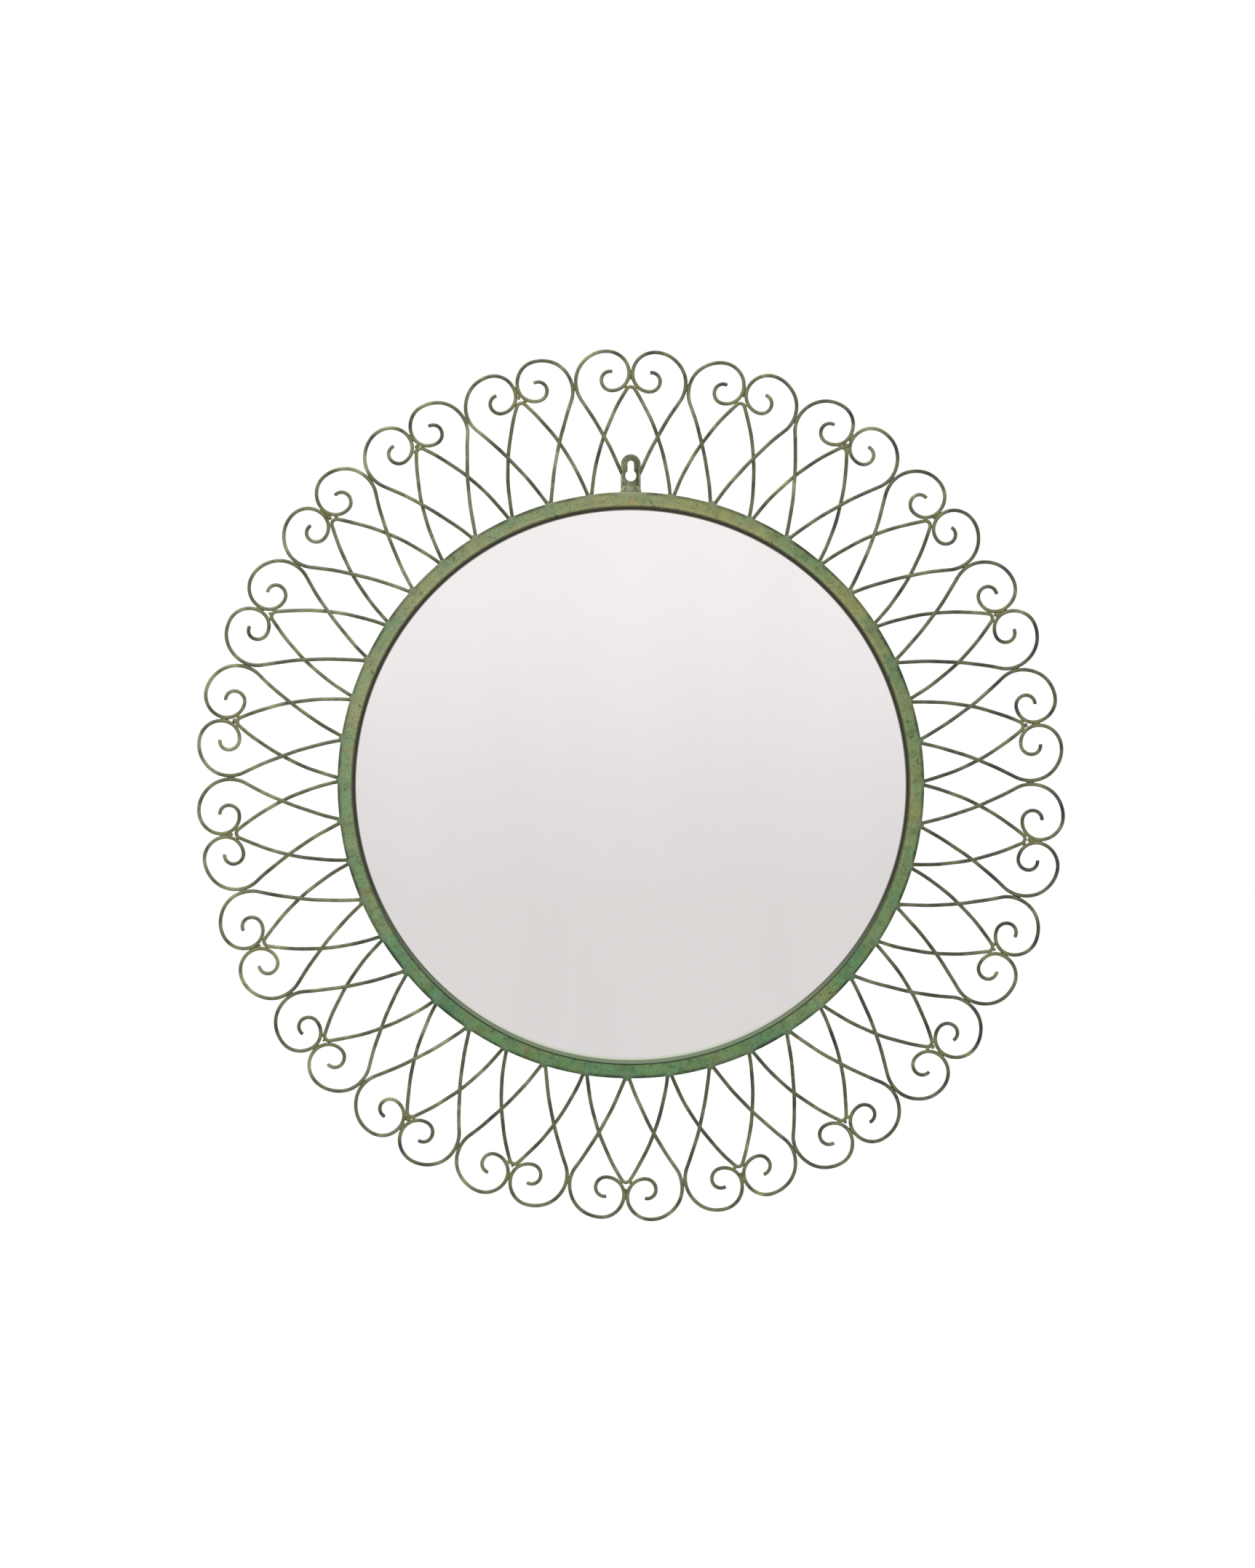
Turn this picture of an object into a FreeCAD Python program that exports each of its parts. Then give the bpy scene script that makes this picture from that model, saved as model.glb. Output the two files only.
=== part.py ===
"""Round wall mirror in a ring of scrolled wire hearts.

The mirror is drawn about its own axis, which runs along Y: the viewer is at -Y and the wall's
plane is at y = 0. At the end every sub-part is moved so that the origin lies in the middle of the
keyhole's round hole, on the back face of the hanger plate, with +Y towards the wall and +Z up.
"""
import FreeCAD
import Part
import math
import os
import Sketcher

doc = FreeCAD.newDocument("wall_mirror")
sheet = doc.addObject("Spreadsheet::Sheet", "sizes")

SIZES = [
    ("heart_count", 22, "scrolled hearts round the rim"),
    ("heart_reach", 100, "rim to the outermost wire"),
    ("wire_diameter", 2.4, "round steel wire"),
    ("wire_sides", 4, "flat sides that stand for the round wire"),
    ("chord_sag", 0.3, "most that a straight chord leaves its arc"),
    ("braze_gap", 0.1, "film of braze between two wires"),
    ("rim_radius", 205, "outside of the rim"),
    ("rim_face", 10.1, "width of the rim's front face"),
    ("rim_depth", 12, "front face to the wall"),
    ("rim_sheet", 1.0, "steel sheet of the rim"),
    ("rim_arris", 0.7, "bevel on the rim's two front edges"),
    ("lip_lean", 1.8, "how far the inner wall leans in towards the glass"),
    ("glass_recess", 5, "rim's front face to the glass"),
    ("glass_thickness", 3, "mirror glass"),
    ("glass_play", 0.25, "glass edge to the roots of the tabs"),
    ("board_thickness", 2.4, "hardboard behind the glass"),
    ("board_play", 0.5, "board edge to the roots of the tabs"),
    ("seat_gap", 0.05, "clearance between seated faces"),
    ("tab_count", 8, "folded tabs that hold the board"),
    ("tab_thickness", 0.7, "strip that a tab is cut from"),
    ("tab_width", 9, "width of a tab"),
    ("tab_reach", 13, "rim's inside to the tip of a tab"),
    ("tab_root", 5, "height of the tab's brazed root"),
    ("scroll_setback", 4, "rim's front face to the middle of the scrolls"),
    ("foot_gap", 0.05, "wire's cut end to what it is brazed to"),
    ("leg_turn", 16, "degrees that a scroll's leg bends, away from its loop"),
    ("curl_turn", 104, "degrees of a scroll's last bend"),
    ("arch_turn", 28, "degrees that each leg of an arch bends"),
    ("tip_radius", 3.3, "bend at an arch's tip"),
    ("plate_width", 13.6, "hanger plate"),
    ("plate_crown", 4.1, "top of the slot to the top of the hanger plate"),
    ("plate_thickness", 1.5, "hanger plate at its border"),
    ("border_width", 1.5, "raised border of the hanger plate"),
    ("border_height", 0.5, "border above the plate's sunk face"),
    ("head_radius", 4, "keyhole's round hole"),
    ("head_rise", 11.6, "rim to the middle of the round hole"),
    ("slot_width", 4.6, "keyhole's slot"),
    ("slot_rise", 8.4, "middle of the round hole to the slot's upper centre"),
]
for row, (alias, value, meaning) in enumerate(SIZES, start=1):
    sheet.set(f"A{row}", meaning)
    sheet.set(f"B{row}", str(value))
    sheet.setAlias(f"B{row}", alias)
doc.recompute()

# degrees of the three bends between a scroll's outer loop and its last bend
QUARTER = 90
# radius of each bend of a scroll after its outer loop, as a share of that loop's radius
BEND_SHARES = (0.711, 0.557, 0.333, 0.28)
# hand work: how far the hearts drift round the ring, as shares of their pitch
DRIFT_SHARE = 0.046
SLIP_SHARE = 0.043
# hand work: how much a loop falls short of the ring's radius, and a curl of its full turn
REACH_SHARE = 0.006
CURL_SHARE = 0.09
REACH_STEP = 1.7
CURL_STEP = 2.3


def size(alias):
    """A driving dimension, as the sheet holds it."""
    return float(sheet.get(alias))


def origin_plane(body, role):
    """The body's own origin plane or axis with this role."""
    return next(f for f in body.Origin.OriginFeatures if f.Role == role)


def new_sketch(body, name, role, offset=None):
    """A sketch on one of the body's origin planes, set off along its normal."""
    sketch = body.newObject("Sketcher::SketchObject", name)
    sketch.AttachmentSupport = [(origin_plane(body, role), "")]
    sketch.MapMode = "FlatFace"
    if offset:
        sketch.setExpression("AttachmentOffset.Base.z", offset)
    return sketch


def polygon(sketch, corners):
    """A closed outline whose corners are pairs of expressions, each bound to the sheet."""
    count = len(corners)
    start = [FreeCAD.Vector(*(evaluate(sketch, word) for word in corner), 0) for corner in corners]
    for i in range(count):
        sketch.addGeometry(Part.LineSegment(start[i], start[(i + 1) % count]), False)
    for i in range(count):
        sketch.addConstraint(Sketcher.Constraint("Coincident", i, 2, (i + 1) % count, 1))
    for i, (across, along) in enumerate(corners):
        bind(sketch, "DistanceX", i, start[i].x, across)
        bind(sketch, "DistanceY", i, start[i].y, along)


def bind(sketch, kind, line, value, expression):
    """Holds a line's first point at a distance from the sketch's origin."""
    index = sketch.addConstraint(Sketcher.Constraint(kind, -1, 1, line, 1, value))
    sketch.setExpression(f"Constraints[{index}]", expression)


def bind_radius(sketch, curve, expression):
    """Binds the radius of an arc or circle to the sheet."""
    value = evaluate(sketch, expression)
    index = sketch.addConstraint(Sketcher.Constraint("Radius", curve, value))
    sketch.setExpression(f"Constraints[{index}]", expression)


def bind_centre(sketch, curve, height):
    """Puts an arc's or circle's centre on the sketch's upright axis, at this height."""
    sketch.addConstraint(Sketcher.Constraint("PointOnObject", curve, 3, -2))
    value = evaluate(sketch, height)
    index = sketch.addConstraint(Sketcher.Constraint("DistanceY", -1, 1, curve, 3, value))
    sketch.setExpression(f"Constraints[{index}]", height)


def evaluate(owner, expression):
    """The number that an expression on the sheet gives now."""
    value = owner.evalExpression(expression)
    return float(getattr(value, "Value", value))


def new_body(label):
    """An empty body with its own label."""
    body = doc.addObject("PartDesign::Body", label)
    body.Label = label
    return body


def pad(body, sketch, name, length):
    """A solid of this thickness, grown along the sketch's normal."""
    feature = body.newObject("PartDesign::Pad", name)
    feature.Profile = sketch
    feature.setExpression("Length", length)
    return feature


def revolve(body, sketch, name):
    """A full turn of the sketch about its own upright axis."""
    feature = body.newObject("PartDesign::Revolution", name)
    feature.Profile = sketch
    feature.ReferenceAxis = (sketch, ["V_Axis"])
    feature.Angle = 360
    return feature


def make_rim():
    """Rolled steel rim: an outer wall, a flat front face and a shorter, splayed inner wall."""
    body = new_body("mirror_rim")
    sketch = new_sketch(body, "rim_section", "XY_Plane")
    outer = "sizes.rim_radius"
    inner = "(sizes.rim_radius - sizes.rim_face)"
    opening = "(sizes.rim_radius - sizes.rim_face - sizes.lip_lean)"
    front = "(-sizes.rim_depth)"
    lip = "(sizes.glass_recess - sizes.rim_depth)"
    polygon(sketch, [
        (outer, "0"),
        (outer, front + " + sizes.rim_arris"),
        (outer + " - sizes.rim_arris", front),
        (inner + " + sizes.rim_arris", front),
        (inner, front + " + sizes.rim_arris"),
        (opening, lip),
        (opening + " + sizes.rim_sheet", lip),
        (inner + " + sizes.rim_sheet", front + " + sizes.rim_sheet"),
        (outer + " - sizes.rim_sheet", front + " + sizes.rim_sheet"),
        (outer + " - sizes.rim_sheet", "0"),
    ])
    revolve(body, sketch, "rim_turn")
    return body


def make_disc(label, play, back, thickness):
    """A disc between the roots of the tabs, grown from its back plane towards the viewer."""
    body = new_body(label)
    sketch = new_sketch(body, label + "_outline", "XZ_Plane", back)
    roots = "sizes.rim_radius - sizes.rim_sheet - sizes.seat_gap - sizes.tab_thickness"
    radius = f"{roots} - {play}"
    circle = Part.Circle(FreeCAD.Vector(), FreeCAD.Vector(0, 0, 1), evaluate(sketch, radius))
    sketch.addGeometry(circle, False)
    sketch.addConstraint(Sketcher.Constraint("Coincident", 0, 3, -1, 1))
    bind_radius(sketch, 0, radius)
    pad(body, sketch, label + "_pad", thickness)
    return body


def make_tabs(board_back):
    """Strips brazed inside the rim's outer wall and folded flat over the board's back."""
    body = new_body("backing_tabs")
    sketch = new_sketch(body, "tab_section", "XY_Plane")
    wall = "(sizes.rim_radius - sizes.rim_sheet - sizes.seat_gap)"
    fold = f"(sizes.seat_gap - ({board_back}))"
    polygon(sketch, [
        (wall, fold + " + sizes.tab_thickness"),
        (wall + " - sizes.tab_reach", fold + " + sizes.tab_thickness"),
        (wall + " - sizes.tab_reach", fold),
        (wall + " - sizes.tab_thickness", fold),
        (wall + " - sizes.tab_thickness", fold + " - sizes.tab_root"),
        (wall, fold + " - sizes.tab_root"),
    ])
    tab = pad(body, sketch, "tab_strip", "sizes.tab_width")
    tab.SideType = "Symmetric"
    ring = body.newObject("PartDesign::PolarPattern", "tab_ring")
    ring.Originals = [tab]
    ring.Axis = (origin_plane(body, "Y_Axis"), [""])
    ring.Angle = 360
    ring.setExpression("Occurrences", "sizes.tab_count")
    body.AllowCompound = True
    body.Tip = ring
    return body


def tongue(sketch, half_width, top, foot, arced=False):
    """An outline with a round top, two upright sides and a foot.

    The foot is a straight line at this height, or an arc of this radius round the mirror's axis.
    """
    low = evaluate(sketch, foot)
    reach = evaluate(sketch, half_width)
    high = evaluate(sketch, top) - reach
    vector = FreeCAD.Vector
    sketch.addGeometry(Part.LineSegment(vector(reach, low, 0), vector(reach, high, 0)), False)
    round_top = Part.Circle(vector(0, high, 0), vector(0, 0, 1), reach)
    sketch.addGeometry(Part.ArcOfCircle(round_top, 0, math.pi), False)
    sketch.addGeometry(Part.LineSegment(vector(-reach, high, 0), vector(-reach, low, 0)), False)
    if arced:
        lean = math.asin(reach / low)
        base = Part.Circle(vector(), vector(0, 0, 1), low)
        sketch.addGeometry(
            Part.ArcOfCircle(base, math.pi / 2 - lean, math.pi / 2 + lean), False)
        ends = [(0, 1, 3, 1), (2, 2, 3, 2)]
    else:
        sketch.addGeometry(
            Part.LineSegment(vector(-reach, low, 0), vector(reach, low, 0)), False)
        ends = [(0, 1, 3, 2), (2, 2, 3, 1)]
    for first in ends:
        sketch.addConstraint(Sketcher.Constraint("Coincident", *first))
    sketch.addConstraint(Sketcher.Constraint("Tangent", 0, 2, 1, 1))
    sketch.addConstraint(Sketcher.Constraint("Tangent", 1, 2, 2, 1))
    sketch.addConstraint(Sketcher.Constraint("Vertical", 0))
    sketch.addConstraint(Sketcher.Constraint("Vertical", 2))
    bind_centre(sketch, 1, f"{top} - {half_width}")
    bind_radius(sketch, 1, half_width)
    if arced:
        sketch.addConstraint(Sketcher.Constraint("Coincident", 3, 3, -1, 1))
        bind_radius(sketch, 3, foot)
    else:
        bind(sketch, "DistanceY", 3, low, foot)
        sketch.addConstraint(Sketcher.Constraint("Horizontal", 3))


def cut(body, sketch, name, depth=None):
    """A pocket from the sketch's plane towards the viewer, right through where no depth is given."""
    feature = body.newObject("PartDesign::Pocket", name)
    feature.Profile = sketch
    feature.Reversed = True
    if depth:
        feature.setExpression("Length", depth)
    else:
        feature.Type = "ThroughAll"
    return feature


def make_hanger():
    """Keyhole plate: a round-topped tongue with a raised border, brazed to the rim."""
    body = new_body("hanger_plate")
    back = "sizes.rim_depth - sizes.scroll_setback - sizes.plate_thickness / 2"
    sunk = back + " + sizes.plate_thickness - sizes.border_height"
    rim = "sizes.rim_radius"
    head = "sizes.rim_radius + sizes.head_rise"
    slot_top = head + " + sizes.slot_rise + sizes.slot_width / 2"
    top = slot_top + " + sizes.plate_crown"
    outline = new_sketch(body, "plate_outline", "XZ_Plane", back)
    tongue(outline, "sizes.plate_width / 2", top, rim + " + sizes.foot_gap", arced=True)
    pad(body, outline, "plate_blank", "sizes.plate_thickness")
    field = new_sketch(body, "plate_field", "XZ_Plane", sunk)
    tongue(field, "(sizes.plate_width / 2 - sizes.border_width)", top + " - sizes.border_width",
           rim + " + sizes.border_width")
    cut(body, field, "sunk_field", "sizes.plate_thickness")
    hole = new_sketch(body, "head_outline", "XZ_Plane", back)
    circle = Part.Circle(FreeCAD.Vector(0, evaluate(hole, head), 0), FreeCAD.Vector(0, 0, 1),
                         size("head_radius"))
    hole.addGeometry(circle, False)
    bind_centre(hole, 0, head)
    bind_radius(hole, 0, "sizes.head_radius")
    cut(body, hole, "head_hole")
    slot = new_sketch(body, "slot_outline", "XZ_Plane", back)
    tongue(slot, "sizes.slot_width / 2", slot_top, head)
    body.Tip = cut(body, slot, "hanging_slot")
    return body


def follow(start, heading, bends):
    """Points along a path of tangent arcs; each bend is a signed radius and a turn in radians."""
    points = [start]
    for radius, turn in bends:
        step = 2 * math.acos(1 - min(1, size("chord_sag") / abs(radius)))
        chords = max(1, math.ceil(abs(turn) / step))
        across = points[-1][0] - radius * math.sin(heading)
        along = points[-1][1] + radius * math.cos(heading)
        for i in range(1, chords + 1):
            now = heading + turn * i / chords
            points.append((across + radius * math.sin(now), along - radius * math.cos(now)))
        heading += turn
    return points


def leg_to_circle(foot, centre, radius, turn):
    """The arc from a foot that runs into a circle on its left, turning by a given angle.

    Gives the arc's first heading, its signed radius and its last heading.
    """
    reach = math.dist(foot, centre)
    side = radius * math.cos(turn / 2)
    ahead = math.sqrt(reach ** 2 - side ** 2)
    chord = ahead + radius * math.sin(turn / 2)
    bearing = math.atan2(centre[1] - foot[1], centre[0] - foot[0]) - math.atan2(side, ahead)
    return bearing - turn / 2, chord / (2 * math.sin(turn / 2)), bearing + turn / 2


def wire_step():
    """Middle to middle of two wires that are brazed side by side."""
    return size("wire_diameter") + size("braze_gap")


def ring_angle(place):
    """Angle of a heart from the top of the ring, clockwise; halves lie between two hearts."""
    count = size("heart_count")
    turn = 2 * math.pi * place / count
    drift = DRIFT_SHARE * math.sin(turn) - SLIP_SHARE * (1 - math.cos(turn)) / 2
    return turn - drift * 2 * math.pi / count


def loop_sizes(reach, half_pitch):
    """Radius and centre of a scroll's outer loop.

    The loop reaches the ring's outside, and it touches both its neighbour across the line
    between two hearts and its partner across the heart's own middle.
    """
    half_step = wire_step() / 2
    top = reach - size("wire_diameter") / 2
    share = BEND_SHARES[0]
    radius = top * math.sin(half_pitch) - half_step * (1 + math.cos(half_pitch))
    radius /= 1 + math.sin(half_pitch) + share * math.cos(half_pitch)
    return radius, (half_step + share * radius, top - radius)


def scroll_reach(index):
    """Outer radius of one scroll, a little short of the ring's by the hand that bent it."""
    ring_radius = size("rim_radius") + size("heart_reach")
    return ring_radius * (1 - REACH_SHARE * (1 - math.sin(REACH_STEP * index)) / 2)


def scroll_line(index, half_pitch):
    """Middle line of the scroll on the heart's right side, from its foot to its free end."""
    radius, centre = loop_sizes(scroll_reach(index), half_pitch)
    foot = (wire_step() / 2, size("rim_radius") + size("foot_gap"))
    turn = -math.radians(size("leg_turn"))
    heading, leg_radius, top_heading = leg_to_circle(foot, centre, radius, turn)
    curl = size("curl_turn") * (1 - CURL_SHARE * (1 - math.sin(CURL_STEP * index)))
    turns = [QUARTER, QUARTER, QUARTER, curl]
    bends = [(leg_radius, turn), (radius, math.pi - top_heading)]
    bends += [(radius * share, math.radians(t)) for share, t in zip(BEND_SHARES, turns)]
    return follow(foot, heading, bends)


def curl_circle(reach, half_pitch):
    """Centre and radius of the bend of a scroll that an arch's tip is brazed to."""
    radius, centre = loop_sizes(reach, half_pitch)
    curl = radius * BEND_SHARES[1]
    height = centre[1] + radius * (1 - BEND_SHARES[0])
    return (wire_step() / 2 + curl, height), curl


def arch_line(reaches, half_pitches):
    """Middle line of an arch, from its right foot over the tip to its left foot.

    Its tip sits against the lower of the two curls, and each foot stands beside the next arch's.
    """
    tip = size("tip_radius")
    heights = []
    for reach, half_pitch in zip(reaches, half_pitches):
        (across, along), curl = curl_circle(reach, half_pitch)
        heights.append(along - math.sqrt((curl + tip + wire_step()) ** 2 - across ** 2))
    centre = (0, min(heights))
    foot_radius = size("rim_radius") + size("foot_gap")
    turn = math.radians(size("arch_turn"))
    legs = []
    for half_pitch in half_pitches:
        angle = half_pitch - math.asin(wire_step() / 2 / foot_radius)
        foot = (foot_radius * math.sin(angle), foot_radius * math.cos(angle))
        legs.append((foot, *leg_to_circle(foot, centre, tip, turn)))
    right, left = legs
    bends = [
        (right[2], turn),
        (tip, 2 * math.pi - right[3] - left[3]),
        (left[2], turn),
    ]
    return follow(right[0], right[1], bends)


def crossing_height(leg, arch):
    """Height at which a scroll's leg passes behind or in front of an arch's leg."""
    for low, high in zip(leg, leg[1:]):
        for foot, head in zip(arch, arch[1:]):
            first = low[0] - across_at(foot, head, low[1])
            last = high[0] - across_at(foot, head, high[1])
            inside = min(foot[1], head[1]) <= high[1] and low[1] <= max(foot[1], head[1])
            if inside and first * last <= 0 and high[1] > low[1]:
                return low[1] + (high[1] - low[1]) * first / (first - last)
    return (arch[0][1] + max(p[1] for p in arch)) / 2


def across_at(low, high, height):
    """Where the straight line through two points passes a height."""
    return low[0] + (high[0] - low[0]) * (height - low[1]) / (high[1] - low[1])


def wire_solid(line, ends, depth_at):
    """A wire along a middle line: mitred sections joined by flat faces.

    ends holds, for the first and last point, the direction that the cut end lies along, or None
    for a square cut. depth_at gives the wire's depth at a height.
    """
    sides = round(size("wire_sides"))
    share = math.sqrt(2 * math.pi / (sides * math.sin(2 * math.pi / sides)))
    corner = size("wire_diameter") / 2 * share
    angles = [2 * math.pi * (i + 0.5) / sides for i in range(sides)]
    headings = [math.atan2(b[1] - a[1], b[0] - a[0]) for a, b in zip(line, line[1:])]
    sections = []
    for i, (across, along) in enumerate(line):
        before = headings[max(0, i - 1)]
        after = headings[min(i, len(headings) - 1)]
        turn = math.remainder(after - before, 2 * math.pi)
        mitre = before + turn / 2 + math.pi / 2
        if i == 0 and ends[0] is not None:
            mitre = ends[0]
        if i == len(line) - 1 and ends[1] is not None:
            mitre = ends[1]
        stretch = corner / math.cos(mitre - before - math.pi / 2)
        points = []
        for angle in angles:
            shift = stretch * math.cos(angle)
            height = along + shift * math.sin(mitre)
            depth = depth_at(height) + corner * math.sin(angle)
            points.append(FreeCAD.Vector(across + shift * math.cos(mitre), depth, height))
        sections.append(points)
    faces = [flat_face(sections[0]), flat_face(sections[-1])]
    for near, far in zip(sections, sections[1:]):
        for i in range(sides):
            faces.append(flat_face([near[i - 1], near[i], far[i], far[i - 1]]))
    return Part.makeSolid(Part.makeShell(faces)).removeSplitter()


def clear_of_plate(wire):
    """A scroll of the top heart, cut off where its leg meets the hanger plate's side."""
    side = size("plate_width") / 2 + size("foot_gap")
    depth = size("rim_depth")
    height = size("head_rise") + size("slot_rise") + size("slot_width") / 2 + size("plate_crown")
    corner = FreeCAD.Vector(-side, -depth, size("rim_radius"))
    room = Part.makeBox(2 * side, depth, height, corner)
    return max(wire.cut(room).Solids, key=lambda solid: solid.Volume)


def flat_face(corners):
    """A flat face with these corners."""
    return Part.Face(Part.makePolygon(corners + corners[:1]))


def mirrored(line):
    """The same middle line on the heart's left side."""
    return [(-across, along) for across, along in line]


def make_heart(number):
    """The two scrolls and the arch of one heart, turned to its place in the ring."""
    place = number - 1
    middle = ring_angle(place)
    half_pitches = (ring_angle(place + 0.5) - middle, middle - ring_angle(place - 0.5))
    indices = (2 * place, 2 * place + 1)
    plane = size("scroll_setback") - size("rim_depth")
    right, left = (scroll_line(i, h) for i, h in zip(indices, half_pitches))
    solids = [
        wire_solid(right, (0, None), lambda height: plane),
        wire_solid(mirrored(left), (math.pi, None), lambda height: plane),
    ]
    if number == 1:
        solids = [clear_of_plate(solid) for solid in solids]
    add_wires(f"scroll_pair_{number:02d}", Part.makeCompound(solids), middle)
    arch = arch_line([scroll_reach(i) for i in indices], half_pitches)
    tip = max(point[1] for point in arch)
    crossing = min(crossing_height(right, arch), crossing_height(left, mirrored(arch[::-1])))
    lean = wire_step() / (tip - crossing)
    ends = (-half_pitches[0], half_pitches[1])
    solid = wire_solid(arch, ends, lambda height: plane + (tip - height) * lean)
    add_wires(f"arch_wire_{number:02d}", solid, middle)


def add_wires(label, shape, angle):
    """A sub-part of bent wire, turned clockwise about the mirror's axis."""
    feature = doc.addObject("Part::Feature", label)
    feature.Label = label
    feature.Shape = shape
    turn = FreeCAD.Rotation(FreeCAD.Vector(0, 1, 0), math.degrees(angle))
    feature.Placement = FreeCAD.Placement(FreeCAD.Vector(), turn)


def sub_parts():
    """The objects of the document that are written out, one for each node."""
    wires = [o for o in doc.Objects if o.TypeId == "Part::Feature"]
    return [o for o in doc.Objects if o.TypeId == "PartDesign::Body"] + wires


def move_to_keyhole():
    """Moves every sub-part so that the keyhole's round hole lies at the origin."""
    depth = size("rim_depth") - size("scroll_setback") - size("plate_thickness") / 2
    height = size("rim_radius") + size("head_rise")
    shift = FreeCAD.Placement(FreeCAD.Vector(0, depth, -height), FreeCAD.Rotation())
    for part in sub_parts():
        part.Placement = shift.multiply(part.Placement)


def check_parts():
    """Stops before anything is written if an object failed or a shape is empty or not valid."""
    for item in doc.Objects:
        if "Invalid" in item.State or "Error" in item.State:
            raise SystemExit(f"{item.Name} failed: {item.State}")
    for part in sub_parts():
        if part.Shape.isNull() or not part.Shape.isValid() or not part.Shape.Solids:
            raise SystemExit(f"{part.Label} has no valid solid")


make_rim()
glass_back = "sizes.rim_depth - sizes.glass_recess - sizes.seat_gap - sizes.glass_thickness"
make_disc("mirror_glass", "sizes.glass_play", glass_back, "sizes.glass_thickness")
board_back = glass_back + " - sizes.seat_gap - sizes.board_thickness"
make_disc("backing_board", "sizes.board_play", board_back, "sizes.board_thickness")
make_tabs(board_back)
make_hanger()
for heart in range(1, round(size("heart_count")) + 1):
    make_heart(heart)
doc.recompute()
move_to_keyhole()
doc.recompute()
check_parts()

os.makedirs("parts", exist_ok=True)
for part in sub_parts():
    part.Shape.exportStep(os.path.join("parts", part.Label + ".step"))
print(len(sub_parts()), "sub-parts,", sum(len(p.Shape.Solids) for p in sub_parts()), "solids")
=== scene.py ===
"""Round wall mirror in a ring of scrolled wire hearts: its bent wires, brazing, finishes and light.

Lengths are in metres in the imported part's own frame: the origin is the middle of the keyhole's
round hole, +Y points to the wall and +Z up. The wires are drawn about the mirror's own axis, as
(across, height) with the heart upright, and then turned to their place in the ring.
"""
import math

import bpy
import numpy as np
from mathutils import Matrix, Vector


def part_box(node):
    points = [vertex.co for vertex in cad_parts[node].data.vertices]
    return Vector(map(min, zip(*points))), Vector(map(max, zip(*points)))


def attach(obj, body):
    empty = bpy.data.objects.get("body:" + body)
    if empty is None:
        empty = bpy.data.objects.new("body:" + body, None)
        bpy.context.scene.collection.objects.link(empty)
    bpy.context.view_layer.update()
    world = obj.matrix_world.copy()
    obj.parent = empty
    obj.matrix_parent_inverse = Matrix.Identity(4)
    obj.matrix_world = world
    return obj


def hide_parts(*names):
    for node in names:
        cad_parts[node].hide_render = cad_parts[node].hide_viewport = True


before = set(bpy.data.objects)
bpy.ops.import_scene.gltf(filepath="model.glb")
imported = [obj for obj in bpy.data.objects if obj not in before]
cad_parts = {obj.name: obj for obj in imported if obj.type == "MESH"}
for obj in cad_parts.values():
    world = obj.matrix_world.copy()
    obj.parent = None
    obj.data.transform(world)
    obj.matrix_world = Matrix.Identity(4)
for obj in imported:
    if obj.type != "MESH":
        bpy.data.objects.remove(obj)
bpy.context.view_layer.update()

MM = 0.001

# the frame: rim, hanger plate and scroll plane
rim_low, rim_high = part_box("mirror_rim")
plate_low, plate_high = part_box("hanger_plate")
scroll_low, scroll_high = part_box("scroll_pair_02")
AXIS_Z = (rim_low.z + rim_high.z) / 2
RIM_RADIUS = (rim_high.x - rim_low.x) / 2
RIM_FRONT = rim_low.y
RIM_BACK = rim_high.y
SCROLL_PLANE = (scroll_low.y + scroll_high.y) / 2
PLATE_SIDE = plate_high.x
RIM_TOP = AXIS_Z + RIM_RADIUS

# the wires, as the solids have them; the bends are shares of the outer loop's radius
HEART_COUNT = 22
HEART_REACH = 100 * MM
WIRE_DIAMETER = 2.4 * MM
BRAZE_GAP = 0.1 * MM
WIRE_STEP = WIRE_DIAMETER + BRAZE_GAP
FOOT_GAP = 0.05 * MM
TIP_RADIUS = 3.3 * MM
LEG_TURN = math.radians(16)
CURL_TURN = 104
ARCH_TURN = math.radians(28)
QUARTER = math.pi / 2
MIRRORED = np.array([-1, 1])
BEND_SHARES = (0.711, 0.557, 0.333, 0.28)

# the hand in it: drift and slip in heart spacings, and how reach and curl vary as sines
DRIFT_SHARE = 0.046
SLIP_SHARE = 0.043
REACH_SHARE = 0.006
CURL_SHARE = 0.09
REACH_STEP = 1.7
CURL_STEP = 2.3

# how finely a wire is drawn, how it wanders, and the dome on each end, in wire radii
TUBE_SIDES = 12
TUBE_STEP = 1.1 * MM
WIRE_SWELL = 0.035
WIRE_WAVER = 0.12 * MM
DOME_OUT = np.array([0.34, 0.24])
DOME_WIDTH = np.array([0.5, 0.86])

# paint on wire and plate, and how far the top heart's legs reach into the plate's side
PAINT_THICKNESS = 0.06 * MM
PLATE_PAINT = 0.12 * MM
LEG_BITE = 0.3 * MM

# half sizes of the beads of braze and weld: along, across and back
TIP_BEAD = (2.6 * MM, 1.25 * MM, 1.2 * MM)
LOOP_BEAD = (3.0 * MM, 0.6 * MM, 0.9 * MM)
NEIGHBOUR_BEAD = (2.8 * MM, 0.6 * MM, 0.9 * MM)
CROSSING_BEAD = (1.5 * MM, 1.35 * MM, 1.25 * MM)
PLATE_FOOT_BEAD = (11.0 * MM, 1.7 * MM, 2.4 * MM)
PLATE_CORNER_BEAD = (3.3 * MM, 1.6 * MM, 1.4 * MM)
PLATE_LEG_BEAD = (3.2 * MM, 1.15 * MM, 1.1 * MM)

# brass that has run in between the curls: along and across where it lies and where it hangs
LYING_RUN = (2.2 * MM, 1.9 * MM)
HANGING_RUN = (2.6 * MM, 1.5 * MM)
RUN_DEPTH = 0.9 * MM

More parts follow.
